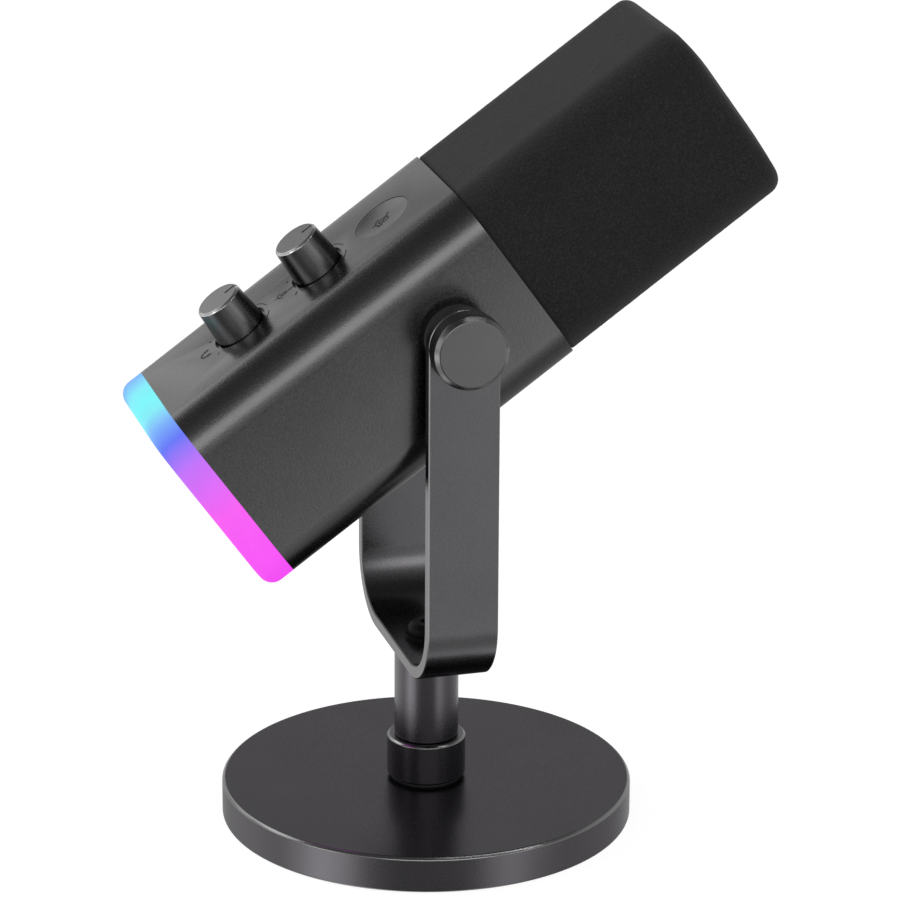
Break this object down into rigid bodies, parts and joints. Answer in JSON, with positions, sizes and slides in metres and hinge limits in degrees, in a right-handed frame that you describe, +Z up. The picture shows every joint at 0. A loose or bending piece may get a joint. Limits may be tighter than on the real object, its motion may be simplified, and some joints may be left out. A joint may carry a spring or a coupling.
{
  "type": "desktop microphone",
  "caption": "Desktop microphone: square-bodied tilting head with foam windscreen, top dials and a lit rear ring, held in a strap yoke on a round weighted base.",
  "frame": {"origin": "on the resting surface, under the middle of the round base and on the post's axis", "axes": "+Z up, +X towards the end that is spoken into, +Y to the left along the head's tilt axis"},
  "size_m": [0.1549, 0.102, 0.2003],
  "materials": {
    "base_paint": "satin",
    "yoke_paint": "satin",
    "satin_black_metal": "satin",
    "shell_paint": "satin",
    "knob_metal": "satin",
    "soft_rubber": "matte",
    "black_nylon": "matte",
    "black_plastic": "matte",
    "touch_plastic": "satin",
    "grille_plastic": "matte",
    "milky_diffuser": "satin",
    "circuit_board": "satin",
    "lamp_epoxy": "gloss",
    "chip_epoxy": "matte",
    "zinc_steel": "satin",
    "black_steel": "satin",
    "nickel_shell": "satin",
    "turned_brass": "satin",
    "cast_alloy": "satin",
    "windscreen_foam": "matte"
  },
  "bodies": {
    "base": {"base_plate": "base_paint", "base_pad": "soft_rubber", "base_stud": "zinc_steel", "collar_washer": "black_nylon"},
    "collar": {"lock_collar": "satin_black_metal"},
    "yoke": {"yoke": "yoke_paint", "stand_post": "satin_black_metal", "yoke_screw": "black_steel", "yoke_washer": "black_steel"},
    "thumb_left": {"thumb_knob_left": "satin_black_metal", "pivot_screw_left": "zinc_steel", "thumb_washer_left": "black_nylon"},
    "thumb_right": {"thumb_knob_right": "satin_black_metal", "pivot_screw_right": "zinc_steel", "thumb_washer_right": "black_nylon"},
    "head": {"head_shell": "shell_paint", "shell_screws": "black_steel", "pivot_spacer_left": "soft_rubber", "pivot_insert_left": "turned_brass", "pivot_spacer_right": "soft_rubber", "pivot_insert_right": "turned_brass", "light_ring": "milky_diffuser", "rear_panel": "black_plastic", "rear_board": "circuit_board", "rgb_lamps": "lamp_epoxy", "panel_screws": "black_steel", "panel_spacers": "turned_brass", "panel_nuts": "zinc_steel", "xlr_barrel": "nickel_shell", "xlr_insulator": "black_plastic", "xlr_contacts": "turned_brass", "usb_hull": "nickel_shell", "usb_tongue": "black_plastic", "phones_jack": "black_plastic", "light_switch": "black_plastic", "volume_potentiometer": "cast_alloy", "volume_nut": "zinc_steel", "gain_potentiometer": "cast_alloy", "gain_nut": "zinc_steel", "mute_pad": "touch_plastic", "touch_board": "circuit_board", "main_board": "circuit_board", "board_standoffs": "turned_brass", "board_screws": "zinc_steel", "board_chips": "chip_epoxy", "front_bulkhead": "black_plastic", "capsule_mount": "soft_rubber", "capsule": "cast_alloy", "capsule_cover": "cast_alloy", "grille_collar": "grille_plastic", "grille_rails": "grille_plastic", "grille_panels": "grille_plastic"},
    "volume_dial": {"volume_knob": "knob_metal", "volume_shaft": "cast_alloy"},
    "gain_dial": {"gain_knob": "knob_metal", "gain_shaft": "cast_alloy"},
    "light_button": {"light_button": "touch_plastic"},
    "windscreen": {"foam_windscreen": "windscreen_foam"}
  },
  "joints": [
    {"name": "collar_turn", "type": "hinge", "parent": "base", "child": "collar", "pos_m": [0, 0, 0.0099], "axis": [0, 0, 1], "range_deg": [0, 180]},
    {"name": "stand_swivel", "type": "hinge", "parent": "base", "child": "yoke", "pos_m": [0, 0, 0.0206], "axis": [0, 0, 1], "range_deg": [-180, 180]},
    {"name": "head_tilt", "type": "hinge", "parent": "yoke", "child": "head", "pos_m": [0, 0, 0.1321], "axis": [0, -1, 0], "range_deg": [-90, 90]},
    {"name": "thumb_left_turn", "type": "hinge", "parent": "yoke", "child": "thumb_left", "pos_m": [0, 0.0334, 0.1321], "axis": [0, 1, 0], "range_deg": [0, 180]},
    {"name": "thumb_right_turn", "type": "hinge", "parent": "yoke", "child": "thumb_right", "pos_m": [0, -0.0334, 0.1321], "axis": [0, -1, 0], "range_deg": [0, 180]},
    {"name": "volume_turn", "type": "hinge", "parent": "head", "child": "volume_dial", "pos_m": [-0.04624, 0, 0.12984], "axis": [-0.5793, 0, 0.8151], "range_deg": [-150, 150]},
    {"name": "gain_turn", "type": "hinge", "parent": "head", "child": "gain_dial", "pos_m": [-0.02725, 0, 0.14334], "axis": [-0.5793, 0, 0.8151], "range_deg": [-150, 150]},
    {"name": "light_button_press", "type": "slide", "parent": "head", "child": "light_button", "axis": [0.8151, 0, 0.5793], "range_m": [0, 0.0006], "stiffness_N_per_m": 2500, "springref_m": -0.0002},
    {"name": "windscreen_pull", "type": "slide", "parent": "head", "child": "windscreen", "axis": [0.8151, 0, 0.5793], "range_m": [0, 0.065]}
  ]
}
